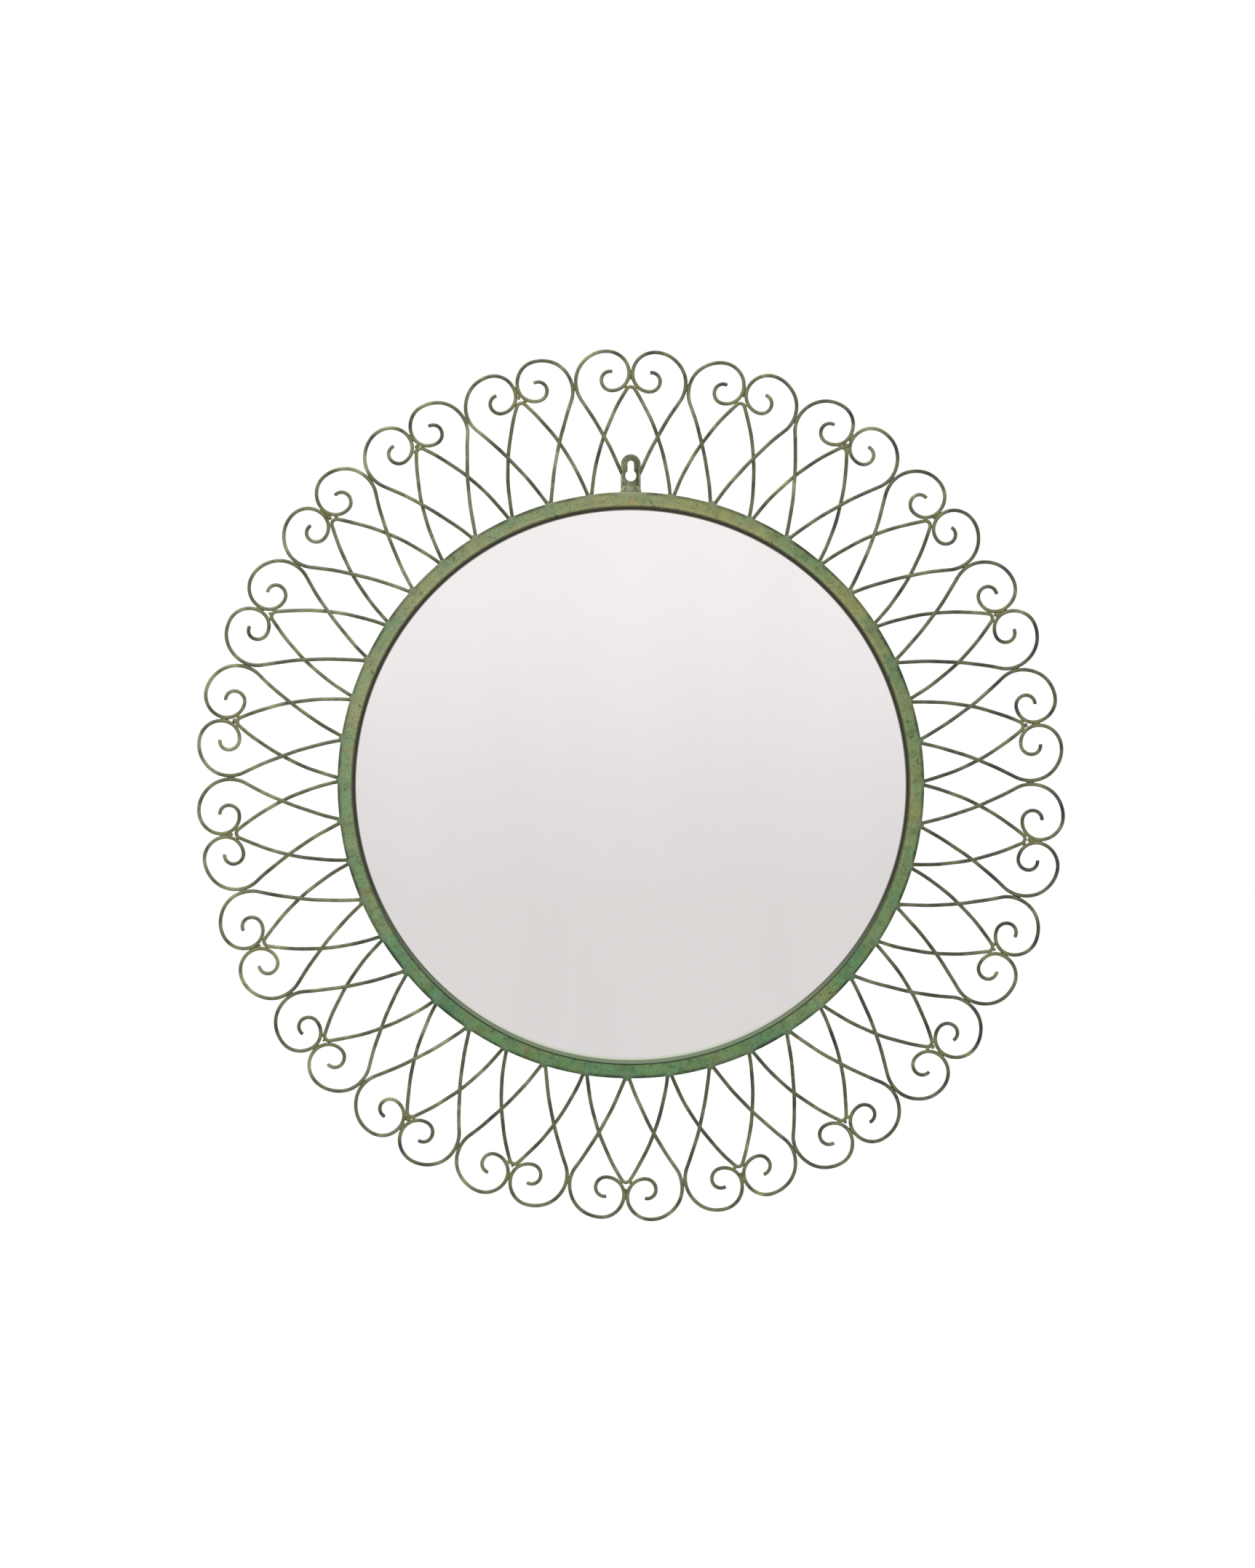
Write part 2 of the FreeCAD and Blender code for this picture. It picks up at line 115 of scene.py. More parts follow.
# welds at the feet: how deep they are sunk, half widths across and back, and heights
WELD_SIDES = 14
WELD_SUNK = 0.3 * MM
WELD_NECK = (WIRE_STEP + 0.08 * MM, WIRE_DIAMETER / 2 + 0.08 * MM)
WELD_BASE = (WELD_NECK[0] + 0.9 * MM, WELD_NECK[1] + 0.8 * MM)
SCROLL_WELD_HEIGHT = 2.1 * MM
ARCH_WELD_HEIGHT = 1.9 * MM

# how far the colour of a brazed or welded joint, and of a mere contact, reaches along a wire
JOINT_REACH = 5 * MM
CONTACT_REACH = 4 * MM

# the rim's sheet and the keyhole plate, as the solids have them
RIM_FACE = 10.1 * MM
RIM_SHEET = 1.0 * MM
LIP_LEAN = 1.8 * MM
RIM_INNER = RIM_RADIUS - RIM_FACE
LIP_RADIUS = RIM_INNER - LIP_LEAN
GLASS_RECESS = 5 * MM
HEAD_RADIUS = 4 * MM
SLOT_HALF_WIDTH = 2.3 * MM
SLOT_RISE = 8.4 * MM
BORDER_WIDTH = 1.5 * MM
BORDER_HEIGHT = 0.5 * MM

# how the rim and the plate are drawn
RIM_STEPS = 960
SECTION_STEP = 1.6 * MM
RIM_SWAY = 0.22 * MM
RIM_DENT = 0.1 * MM
PLATE_DIRECTIONS = 288
CORNER_POINTS = 6

# the hardboard's screen marks, and where a Mix node takes its two colours
SCREEN_PITCH = 2.1 * MM
COLOUR_A, COLOUR_B = 6, 7


# shapes

def flipped_outwards(verts, faces):
    """The faces, reversed if the closed surface's signed volume says that they point inwards."""
    corners = np.concatenate([f[:, [0, i, i + 1]]
                              for f in faces for i in range(1, f.shape[1] - 1)])
    a, b, c = (verts[corners[:, i]] for i in range(3))
    volume = np.einsum("ij,ij->i", a, np.cross(b, c)).sum()
    return faces if volume > 0 else [f[:, ::-1] for f in faces]


def skin(rings):
    """Closed surface through rings of points: quads from ring to ring and a fan at each end.

    Each fan meets in one point, the middle of the end ring.
    """
    count, sides = rings.shape[:2]
    here = np.arange(sides)
    beside = (here + 1) % sides
    row = np.arange(count - 1)[:, None] * sides
    quads = np.stack([row + here, row + beside, row + sides + beside, row + sides + here], -1)
    last = (count - 1) * sides
    first_pole = np.full(sides, count * sides)
    fans = [np.stack([first_pole, beside, here], -1),
            np.stack([first_pole + 1, last + here, last + beside], -1)]
    verts = np.concatenate([rings.reshape(-1, 3), [rings[0].mean(0), rings[-1].mean(0)]])
    return verts, flipped_outwards(verts, [quads.reshape(-1, 4), *fans])


def ring_skin(rings):
    """Closed surface with a hole through it: quads both ways round, so that it has no ends."""
    count, sides = rings.shape[:2]
    here = np.arange(sides)
    beside = (here + 1) % sides
    row = np.arange(count)[:, None] * sides
    above = (row + sides) % (count * sides)
    quads = np.stack([row + here, row + beside, above + beside, above + here], -1).reshape(-1, 4)
    verts = rings.reshape(-1, 3)
    return verts, flipped_outwards(verts, [quads])


def joined(shapes):
    """Several closed surfaces as one list of points and one list of faces."""
    starts = np.cumsum([0] + [len(verts) for verts, _ in shapes])
    verts = np.concatenate([verts for verts, _ in shapes])
    faces = [f + start for (_, group), start in zip(shapes, starts) for f in group]
    return verts, faces


def put(name, data):
    """A new object in the scene, at the origin."""
    made = bpy.data.objects.new(name, data)
    bpy.context.scene.collection.objects.link(made)
    return made


def make_piece(name, shape, material, replaced=(), joints=None):
    """A smooth-shaded piece on the root body; joints is a colour for each point, if it has one."""
    verts, faces = shape
    mesh = bpy.data.meshes.new(name)
    mesh.from_pydata(verts.tolist(), [], [face for group in faces for face in group.tolist()])
    mesh.shade_smooth()
    mesh.materials.append(material)
    if joints is not None:
        layer = mesh.attributes.new("joints", "FLOAT_COLOR", "POINT")
        layer.data.foreach_set("color", joints.astype(np.float32).ravel())
    piece = put(name, mesh)
    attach(piece, "root")
    if replaced:
        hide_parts(*replaced)
    return piece


def waves(position, lengths, seed):
    """Smooth unevenness from -1 to 1: a mean of sines of these wave lengths, with seeded phases."""
    phases = np.random.default_rng(seed).uniform(0, 2 * np.pi, len(lengths))
    sines = [np.sin(2 * np.pi * position / l + p) for l, p in zip(lengths, phases)]
    return sum(sines) / len(lengths)


# wires

def follow(start, heading, bends):
    """Points and headings along tangent arcs: point = centre + radius (sin h, -cos h)."""
    points, headings = [np.array([start])], [np.array([heading])]
    for radius, turn in bends:
        count = max(2, math.ceil(abs(radius * turn) / TUBE_STEP))
        centre = points[-1][-1] + radius * np.array([-math.sin(heading), math.cos(heading)])
        now = heading + turn * np.arange(1, count + 1) / count
        points.append(centre + radius * np.stack([np.sin(now), -np.cos(now)], -1))
        headings.append(now)
        heading += turn
    return np.concatenate(points), np.concatenate(headings)


def leg_to_circle(foot, centre, radius, turn):
    """First heading, signed radius and last heading of the arc from a foot into a circle."""
    reach = math.dist(foot, centre)
    side = radius * math.cos(turn / 2)
    ahead = math.sqrt(reach ** 2 - side ** 2)
    chord = ahead + radius * math.sin(turn / 2)
    bearing = math.atan2(centre[1] - foot[1], centre[0] - foot[0]) - math.atan2(side, ahead)
    return bearing - turn / 2, chord / (2 * math.sin(turn / 2)), bearing + turn / 2


def ring_angle(place):
    """Angle of a heart from the top of the ring, clockwise; halves lie between two hearts."""
    turn = 2 * math.pi * place / HEART_COUNT
    drift = DRIFT_SHARE * math.sin(turn) - SLIP_SHARE * (1 - math.cos(turn)) / 2
    return turn - drift * 2 * math.pi / HEART_COUNT


def scroll_reach(index):
    """Outer radius of one scroll, a little short of the ring's by the hand that bent it."""
    whole = RIM_RADIUS + HEART_REACH
    return whole * (1 - REACH_SHARE * (1 - math.sin(REACH_STEP * index)) / 2)


def outer_loop(reach, half_pitch):
    """Radius and centre of the loop that touches the ring's outside, its neighbour and partner."""
    top = reach - WIRE_DIAMETER / 2
    radius = top * math.sin(half_pitch) - WIRE_STEP / 2 * (1 + math.cos(half_pitch))
    radius /= 1 + math.sin(half_pitch) + BEND_SHARES[0] * math.cos(half_pitch)
    return radius, (WIRE_STEP / 2 + BEND_SHARES[0] * radius, top - radius)


def scroll_line(index, half_pitch):
    """Middle line of the scroll on a heart's right side: a leg, an outer loop and four bends."""
    radius, centre = outer_loop(scroll_reach(index), half_pitch)
    foot = (WIRE_STEP / 2, RIM_RADIUS + FOOT_GAP)
    heading, leg_radius, top_heading = leg_to_circle(foot, centre, radius, -LEG_TURN)
    curl = math.radians(CURL_TURN * (1 - CURL_SHARE * (1 - math.sin(CURL_STEP * index))))
    bends = [(leg_radius, -LEG_TURN), (radius, math.pi - top_heading)]
    turns = (QUARTER, QUARTER, QUARTER, curl)
    bends += [(radius * share, turn) for share, turn in zip(BEND_SHARES, turns)]
    return follow(foot, heading, bends)


def curl_circle(reach, half_pitch):
    """Centre and radius of the bend of a scroll that an arch's tip is brazed to."""
    radius, centre = outer_loop(reach, half_pitch)
    curl = radius * BEND_SHARES[1]
    return (WIRE_STEP / 2 + curl, centre[1] + radius * (1 - BEND_SHARES[0])), curl


def arch_line(curls, half_pitches):
    """Middle line of an arch from its right foot over the tip to its left foot, and tip centre."""
    heights = [along - math.sqrt((curl + TIP_RADIUS + WIRE_STEP) ** 2 - across ** 2)
               for (across, along), curl in curls]
    centre = (0, min(heights))
    foot_radius = RIM_RADIUS + FOOT_GAP
    legs = []
    for half_pitch in half_pitches:
        angle = half_pitch - math.asin(WIRE_STEP / 2 / foot_radius)
        foot = (foot_radius * math.sin(angle), foot_radius * math.cos(angle))
        legs.append((foot, *leg_to_circle(foot, centre, TIP_RADIUS, ARCH_TURN)))
    right, left = legs
    bends = [(right[2], ARCH_TURN), (TIP_RADIUS, 2 * math.pi - right[3] - left[3]),
             (left[2], ARCH_TURN)]
    return follow(right[0], right[1], bends), centre


def crossing(leg, arch):
    """The point where a scroll's leg and an arch's leg cross, seen from the front.

    It is the leg's point that is nearest to the arch's line, looked for between feet and tip.
    """
    far, above_feet = 1, RIM_RADIUS + 8 * MM
    low = leg[: len(leg) // 3]
    gaps = np.linalg.norm(low[:, None] - arch[None], axis=-1)
    gaps[low[:, 1] < above_feet] = far
    return low[np.unravel_index(gaps.argmin(), gaps.shape)[0]]


def placed(across, height, depth, angle):
    """Points of an upright heart, turned clockwise about the mirror's axis, in the row's frame."""
    x = across * math.cos(angle) + height * math.sin(angle)
    z = height * math.cos(angle) - across * math.sin(angle)
    return np.stack([x, depth, z + AXIS_Z], -1)


def tube(points, headings, depth, seed):
    """Round wire about a line: point + r (cos a side + sin a back), with domed ends.

    The radius and the line wander a little, as wire that was bent by hand and painted does.
    """
    span = np.linalg.norm(np.diff(points, axis=0), axis=1)
    along = np.concatenate([[0], np.cumsum(span)])
    slope = np.gradient(depth, along)
    ahead = np.stack([np.cos(headings), slope, np.sin(headings)], -1)
    ahead /= np.linalg.norm(ahead, axis=1, keepdims=True)
    side = np.stack([-np.sin(headings), np.zeros_like(headings), np.cos(headings)], -1)
    back = np.cross(ahead, side)
    radius = WIRE_DIAMETER / 2 + PAINT_THICKNESS
    radius = radius * (1 + WIRE_SWELL * waves(along, (0.031, 0.017, 0.0071), seed))
    line = np.stack([points[:, 0], depth, points[:, 1]], -1)
    line += side * (WIRE_WAVER * waves(along, (0.043, 0.023), seed + 1))[:, None]
    first, final = radius[0], radius[-1]
    line = np.concatenate([line[:1] - ahead[:1] * DOME_OUT[:, None] * first, line,
                           line[-1:] + ahead[-1:] * DOME_OUT[::-1, None] * final])
    radius = np.concatenate([DOME_WIDTH * first, radius, DOME_WIDTH[::-1] * final])
    side, back = (np.pad(v, ((2, 2), (0, 0)), mode="edge") for v in (side, back))
    turn = 2 * np.pi * np.arange(TUBE_SIDES) / TUBE_SIDES
    spread = np.cos(turn)[:, None] * side[:, None] + np.sin(turn)[:, None] * back[:, None]
    return line[:, None] + radius[:, None, None] * spread


def nearness(verts, spots, reach):
    """How near each point is to the nearest spot: 1 at it, falling off as exp(-(d / reach)^2)."""
    gaps = np.linalg.norm(verts[:, None] - np.asarray(spots)[None], axis=-1).min(1)
    return np.exp(-(gaps / reach) ** 2)


def joint_colours(verts, *marks):
    """Point colours whose red, green and blue are nearness to a group of spots each.

    On the wires these are brass brazing, feet on the rim and other contacts.
    """
    channels = [nearness(verts, spots, reach) for spots, reach in marks]
    return np.stack([*channels, np.ones(len(verts))], -1)


def all_weld(shape, pale):
    """Point colours of a shape that is all weld: full red, and blue for how pale it is."""
    return np.tile([1.0, 0.0, pale, 1.0], (len(shape[0]), 1))


def bead(centre, along, lengths, seed, rings=7, sides=10):
    """Lumpy bead: an ellipsoid about a point, long in a direction of the wires' plane.

    Each radius swells by a few percent with waves round and along it.
    """
    v = np.linspace(0, np.pi, rings + 2)[1:-1]
    u = np.linspace(0, 2 * np.pi, sides, endpoint=False)
    swell = 1 + 0.09 * waves(u[None] + 0.7 * v[:, None], (2 * np.pi, np.pi), seed)
    swell = swell * (1 + 0.08 * waves(v, (3.0, 1.7), seed + 1))[:, None]
    ahead = np.array([along[0], 0, along[1]])
    side = np.array([-along[1], 0, along[0]])
    back = np.array([0, 1, 0])
    out = np.cos(v)[:, None, None] * ahead * lengths[0]
    out = out + (np.sin(v)[:, None] * np.cos(u) * swell)[..., None] * side * lengths[1]
    out = out + (np.sin(v)[:, None] * np.sin(u) * swell)[..., None] * back * lengths[2]
    return skin(centre + out)


def foot_weld(angle, depth, height, seed):
    """Weld that climbs from the rim onto a pair of wires.

    Its half widths shrink from base to neck as (1 - u) squared while it rises. The lowest ring
    is sunk in the rim's wall, and the last one closes in on the wires.
    """
    rise = np.array([-0.12, 0, 0.12, 0.3, 0.55, 0.8, 1, 1.08])
    share = (1 - rise.clip(0, 1)) ** 2
    share[-1] = -0.45
    turn = np.linspace(0, 2 * np.pi, WELD_SIDES, endpoint=False)
    lumps = 1 + 0.1 * waves(turn[None] + 2 * rise[:, None], (2 * np.pi, np.pi, 2.1), seed)
    wide, deep = (neck + (base - neck) * share for neck, base in zip(WELD_NECK, WELD_BASE))
    wide = wide[:, None] * np.cos(turn) * lumps
    deep = deep[:, None] * np.sin(turn) * lumps
    lift = np.broadcast_to((RIM_RADIUS - WELD_SUNK + height * rise)[:, None], wide.shape)
    lift = lift - wide ** 2 / (2 * RIM_RADIUS)
    return skin(placed(wide, lift, depth + deep, angle))


class Heart:
    """One heart's lines and contacts, drawn upright; each pair holds its right side first."""

    def __init__(self, number):
        place = number - 1
        self.number = number
        self.angle = ring_angle(place)
        self.half_pitches = (ring_angle(place + 0.5) - self.angle,
                             self.angle - ring_angle(place - 0.5))
        indices = (2 * place, 2 * place + 1)
        reaches = [scroll_reach(i) for i in indices]
        self.loops = [outer_loop(r, h) for r, h in zip(reaches, self.half_pitches)]
        self.curls = [curl_circle(r, h) for r, h in zip(reaches, self.half_pitches)]
        self.scrolls = [scroll_line(i, h) for i, h in zip(indices, self.half_pitches)]
        arch, self.tip_centre = arch_line(self.curls, self.half_pitches)
        self.arch, self.arch_headings = arch
        self.tip = self.arch[:, 1].max()
        self.meets = [crossing(self.scrolls[0][0], self.arch),
                      crossing(self.scrolls[1][0], self.arch * MIRRORED) * MIRRORED]
        lean = WIRE_STEP / (self.tip - min(height for _, height in self.meets))
        self.arch_depth = SCROLL_PLANE + (self.tip - self.arch[:, 1]) * lean

    def spot(self, across, height, depth=SCROLL_PLANE):
        """A point of the upright heart, in the row's frame."""
        return placed(np.array(across), np.array(height), np.array(depth), self.angle)

    def partner_contact(self):
        """Where the heart's two outer loops touch."""
        heights = [centre[1] + radius * (1 - BEND_SHARES[0]) for radius, centre in self.loops]
        return self.spot(0.0, np.mean(heights))

    def neighbour_contacts(self):
        """Where each outer loop comes nearest to the next heart's."""
        sides = zip(self.loops, self.half_pitches, (1, -1))
        return [self.spot(side * (centre[0] + radius * math.cos(half_pitch)),
                          centre[1] - radius * math.sin(half_pitch))
                for (radius, centre), half_pitch, side in sides]

    def tip_contacts(self):
        """Where the arch's tip touches each curl, with the clockwise turn of the wires there."""
        contacts = []
        for ((across, along), curl), side in zip(self.curls, (1, -1)):
            rise = along - self.tip_centre[1]
            toward = math.atan2(rise, across)
            halfway = (math.hypot(across, rise) - curl + TIP_RADIUS) / 2
            place = self.spot(side * halfway * math.cos(toward),
                              self.tip_centre[1] + halfway * math.sin(toward))
            contacts.append((place, self.angle - side * (QUARTER - toward)))
        return contacts

    def crossings(self):
        """Where the arch passes behind each scroll's leg."""
        return [self.spot(*meet, SCROLL_PLANE + WIRE_STEP / 2) for meet in self.meets]

    def on_ring(self, rings):
        """The closed surface of a tube that was drawn upright, in its place."""
        return skin(placed(rings[..., 0], rings[..., 2], rings[..., 1], self.angle))


def outward(angle):
    """Direction away from the mirror's axis at an angle from the top of the ring."""
    return np.array([math.sin(angle), math.cos(angle)])


def make_scrolls(heart, wire):
    """A heart's two scrolls; those of the top heart start at the keyhole plate's sides."""
    shapes = []
    for i, (points, headings) in enumerate(heart.scrolls):
        if heart.number == 1:
            start = np.argmax(points[:, 0] > PLATE_SIDE - LEG_BITE)
            points, headings = points[start:], headings[start:]
        if i == 1:
            points, headings = points * MIRRORED, np.pi - headings
        depth = np.full(len(points), SCROLL_PLANE)
        shapes.append(heart.on_ring(tube(points, headings, depth, 10 * heart.number + i)))
    pair = joined(shapes)
    brazed = [heart.partner_contact(), *(place for place, _ in heart.tip_contacts())]
    contacts = [*heart.neighbour_contacts(), *heart.crossings()]
    foot = heart.spot(0.0, RIM_RADIUS)
    colours = joint_colours(pair[0], (brazed, JOINT_REACH), ([foot], JOINT_REACH),
                            (contacts, CONTACT_REACH))
    make_piece(f"heart_scrolls_{heart.number:02d}", pair, wire,
               [f"scroll_pair_{heart.number:02d}"], colours)


def make_arch(heart, wire):
    """The pointed arch behind a heart."""
    shape = heart.on_ring(tube(heart.arch, heart.arch_headings, heart.arch_depth,
                               10 * heart.number + 5))
    brazed = [place for place, _ in heart.tip_contacts()]
    feet = [heart.spot(*heart.arch[end], heart.arch_depth[end]) for end in (0, -1)]
    colours = joint_colours(shape[0], (brazed, JOINT_REACH), (feet, JOINT_REACH),
                            (heart.crossings(), CONTACT_REACH))
    make_piece(f"heart_arch_{heart.number:02d}", shape, wire,
               [f"arch_wire_{heart.number:02d}"], colours)


def make_beads(hearts, brass, wire):
    """Brazing where wires touch: brass at tips and between partners, under patina elsewhere.

    Some brass has run into the gap between the curls: in some hearts it lies on the arch's tip,
    in the others it hangs from where the loops touch.
    """
    tips, loops, others = [], [], []
    run_in = np.random.default_rng(900).uniform(0.4, 1.25, len(hearts))
    on_tip = np.random.default_rng(901).random(len(hearts)) < 0.5
    for heart, share, lies_on_tip in zip(hearts, run_in, on_tip):
        number = heart.number
        for i, (place, turned) in enumerate(heart.tip_contacts()):
            flow = np.array([math.cos(turned), -math.sin(turned)])
            tips.append(bead(place, flow, TIP_BEAD, 100 + 2 * number + i))
        upward = outward(heart.angle)
        partners = heart.partner_contact()
        if lies_on_tip:
            run, size = heart.spot(0.0, heart.tip + WIRE_DIAMETER / 2 + 0.3 * MM), LYING_RUN
        else:
            below = upward * ((2.2 + 2.4 * share) * MM)
            run, size = partners - np.array([below[0], 0, below[1]]), HANGING_RUN
        tips.append(bead(run, upward, (size[0] * share, size[1] * share, RUN_DEPTH), 150 + number))
        loops.append(bead(partners, upward, LOOP_BEAD, 200 + number))
        along = outward(heart.angle + heart.half_pitches[0])
        sideways = np.array([along[1], 0, -along[0]])
        between = heart.neighbour_contacts()[0] + WIRE_STEP / 2 * sideways
        others.append(bead(between, along, NEIGHBOUR_BEAD, 300 + number))
        for i, place in enumerate(heart.crossings()):
            others.append(bead(place, upward, CROSSING_BEAD, 400 + 2 * number + i))
    for name, beads, metal in (("apex_brazes", tips, brass), ("loop_brazes", loops, brass),
                               ("crossing_brazes", others, wire)):
        make_piece(name, joined(beads), metal)


def make_foot_welds(hearts, paint):
    """Welds under the wires' feet, painted with the rim; the top scrolls end on the plate."""
    welds = []
    for heart in hearts:
        if heart.number > 1:
            welds.append(foot_weld(heart.angle, SCROLL_PLANE, SCROLL_WELD_HEIGHT,
                                   500 + heart.number))
        welds.append(foot_weld(heart.angle + heart.half_pitches[0], heart.arch_depth[0],
                               ARCH_WELD_HEIGHT, 600 + heart.number))
    shape = joined(welds)
    make_piece("foot_welds", shape, paint, joints=all_weld(shape, 0.1))


# rim and keyhole plate

def rounded(corners, radii, step):
    """A closed outline whose corners are arcs; straight stretches are cut at about this step."""
    corners = np.asarray(corners, float)
    stretches = []
    for i, radius in enumerate(radii):
        here = corners[i]
        to_last = corners[i - 1] - here
        to_next = corners[(i + 1) % len(corners)] - here
        to_last /= np.linalg.norm(to_last)
        to_next /= np.linalg.norm(to_next)
        half = math.acos(np.clip(to_last @ to_next, -1, 1)) / 2
        middle = (to_last + to_next) / np.linalg.norm(to_last + to_next)
        centre = here + middle * radius / math.sin(half)
        start = here + to_last * radius / math.tan(half) - centre
        end = here + to_next * radius / math.tan(half) - centre
        share = np.linspace(0, 1, CORNER_POINTS)[:, None]
        turn = math.pi - 2 * half
        arc = (np.sin((1 - share) * turn) * start + np.sin(share * turn) * end) / math.sin(turn)
        stretches.append(centre + arc)
    outline = []
    for i, arc in enumerate(stretches):
        target = stretches[(i + 1) % len(stretches)][0]
        count = max(1, round(np.linalg.norm(target - arc[-1]) / step))
        share = np.arange(1, count)[:, None] / count
        outline += [arc, arc[-1] + (target - arc[-1]) * share]
    return np.concatenate(outline)


def make_rim(paint):
    """Rolled rim: a rounded channel section turned about the axis, wavering as rolled sheet does.

    Red in its point colours is nearness to any weld, green nearness to a touch of rust, and blue
    nearness to the weld under the hanger plate.
    """
    lip = RIM_FRONT + GLASS_RECESS
    corners = [
        (RIM_RADIUS, RIM_BACK), (RIM_RADIUS, RIM_FRONT), (RIM_INNER, RIM_FRONT),
        (LIP_RADIUS, lip), (LIP_RADIUS + RIM_SHEET, lip),
        (RIM_INNER + RIM_SHEET, RIM_FRONT + RIM_SHEET),
        (RIM_RADIUS - RIM_SHEET, RIM_FRONT + RIM_SHEET), (RIM_RADIUS - RIM_SHEET, RIM_BACK),
    ]
    cut, inside, outer_bend, inner_bend = 0.35 * MM, 0.3 * MM, 1.6 * MM, 1.0 * MM
    radii = [cut, outer_bend, inner_bend, cut, cut, inside, inside, cut]
    section = rounded(corners, radii, SECTION_STEP)
    turn = np.linspace(0, 2 * np.pi, RIM_STEPS, endpoint=False)
    sway = RIM_SWAY * waves(turn, 2 * np.pi / np.array([3, 5, 8, 13, 21]), 7)
    dents = RIM_DENT * waves(turn, 2 * np.pi / np.array([17, 29, 41, 67]), 8)
    radius = section[:, 0] + sway[:, None]
    depth = section[:, 1] + dents[:, None] * (section[:, 1] < lip)
    rings = np.stack([radius * np.sin(turn)[:, None], depth,
                      radius * np.cos(turn)[:, None] + AXIS_Z], -1)
    shape = ring_skin(rings)

    # pairs of wires stand all round the rim, but the top has the plate instead
    at_feet = [placed(np.array(0.0), np.array(RIM_RADIUS - 1.5 * MM), np.array(RIM_FRONT),
                      ring_angle(half / 2)) for half in range(1, 2 * HEART_COUNT)]
    rust = np.array([2.0 * MM, RIM_FRONT, RIM_TOP - 8.2 * MM])
    under_plate = [np.array([step * 3.0 * MM, RIM_FRONT, RIM_TOP]) for step in range(-3, 4)]
    colours = joint_colours(shape[0], (at_feet + under_plate, 3.6 * MM), ([rust], 3.4 * MM),
                            (under_plate, 3.0 * MM))
    make_piece("rolled_rim", shape, paint, ["mirror_rim"], colours)


def from_tongue(direction, side, top, foot):
    """Distance from the origin, along each direction, to a tongue's outline.

    The tongue has two upright sides, a straight foot and a round top, which is the far side of a
    circle as wide as the tongue.
    """
    sine, cosine = np.sin(direction), np.cos(direction)
    wall = side / np.abs(sine).clip(1e-6)
    centre = top - side
    inside = side ** 2 - (centre * sine) ** 2
    head = np.where(inside >= 0, centre * cosine + np.sqrt(inside.clip(0)), 0)
    floor = np.where(cosine < 0, foot / np.minimum(cosine, -1e-6), np.inf)
    return np.minimum(np.where(wall * cosine > centre, head, wall), floor)


def make_plate(steel):
    """Keyhole plate: rings of points at equal directions from the round hole's middle.

    Each ring lies on the keyhole, on the sunk field's edge or on the outline, at its own depth.
    Red in its point colours is dirt and painted shade: it fills the sunk field as dark patina and
    painted shade, lines the cut edges with painted shade, and darkens the right side and the
    border's crown.
    """
    front, back = plate_low.y, plate_high.y
    sunk = front + BORDER_HEIGHT
    side, foot = PLATE_SIDE, plate_low.z
    slot_spread, no_foot = 1.2, -1.0
    direction = np.linspace(-np.pi, np.pi, PLATE_DIRECTIONS, endpoint=False)
    slot = from_tongue(direction, SLOT_HALF_WIDTH, SLOT_RISE + SLOT_HALF_WIDTH, no_foot)
    slot = np.where(np.abs(direction) < slot_spread, slot, 0)
    keyhole = np.maximum(HEAD_RADIUS, slot) - PLATE_PAINT
    field = from_tongue(direction, side - BORDER_WIDTH, plate_high.z - BORDER_WIDTH,
                        foot + BORDER_WIDTH)
    outline = from_tongue(direction, side, plate_high.z, foot) + PLATE_PAINT
    soft, tight = 0.3 * MM, 0.15 * MM

    # each ring's reach and depth, and its dirt and painted shade all round, at the crown and on the
    # right
    layers = [
        (keyhole + soft, back, 1, 0, 0), (keyhole, back - soft, 1, 0, 0),
        (keyhole, sunk + soft, 1, 0, 0), (keyhole + tight, sunk + tight / 2, 1, 0, 0),
        (keyhole + soft, sunk, 0.7, 0, 0.5), (field - soft, sunk, 0.6, 0, 0.8),
        (field - tight, sunk - tight, 0.8, 0, 0.6), (field, front + soft, 0.7, 0, 0.5),
        (field + soft, front, 0.1, 0.4, 0.3), (outline - soft, front, 0.1, 0.6, 0.3),
        (outline - tight / 2, front + tight, 0.7, 0.4, 0), (outline, front + soft, 0.8, 0.2, 0),
        (outline, back - soft, 0.8, 0.2, 0), (outline - soft, back, 0.8, 0.2, 0),
    ]
    sine, cosine = np.sin(direction), np.cos(direction)
    rings = np.stack([
        np.stack([reach * sine, np.full_like(direction, depth), reach * cosine], -1)
        for reach, depth, *_ in layers])
    colours = np.ones((*rings.shape[:2], 4))
    colours[..., 0] = [around + crown * cosine.clip(0) ** 3 + right * sine.clip(0)
                       for *_, around, crown, right in layers]
    piece = make_piece("keyhole_plate", ring_skin(rings), steel,
                       ["hanger_plate"], colours.reshape(-1, 4))
    piece.data.set_sharp_from_angle(angle=math.radians(50))


def make_plate_welds(paint, wire):
    """Painted weld along the plate's foot and in its corners; brazes at the top heart's legs."""
    depth = (plate_low.y + plate_high.y) / 2
    middle = np.array([0, depth - 0.6 * MM, RIM_TOP - 1.3 * MM])
    flat = np.array([1.0, 0.0])
    welds = [bead(middle, flat, PLATE_FOOT_BEAD, 700, rings=13, sides=12)]
    pale = [all_weld(welds[0], 0.0)]
    legs = []
    for side in (-1, 1):
        corner = middle + np.array([side * 5.5 * MM, 0, 2.8 * MM])
        welds.append(bead(corner, np.array([-side * 0.35, 0.93]), PLATE_CORNER_BEAD, 710 + side))
        pale.append(all_weld(welds[-1], 0.8 - 0.5 * side))
        leg = np.array([side * (PLATE_SIDE + 0.3 * MM), SCROLL_PLANE, RIM_TOP + 15 * MM])
        legs.append(bead(leg, np.array([side * 0.25, 0.97]), PLATE_LEG_BEAD, 720 + side))
    shape = joined(welds)
    make_piece("plate_welds", shape, paint, joints=np.concatenate(pale))
    make_piece("plate_brazes", joined(legs), wire)


# materials

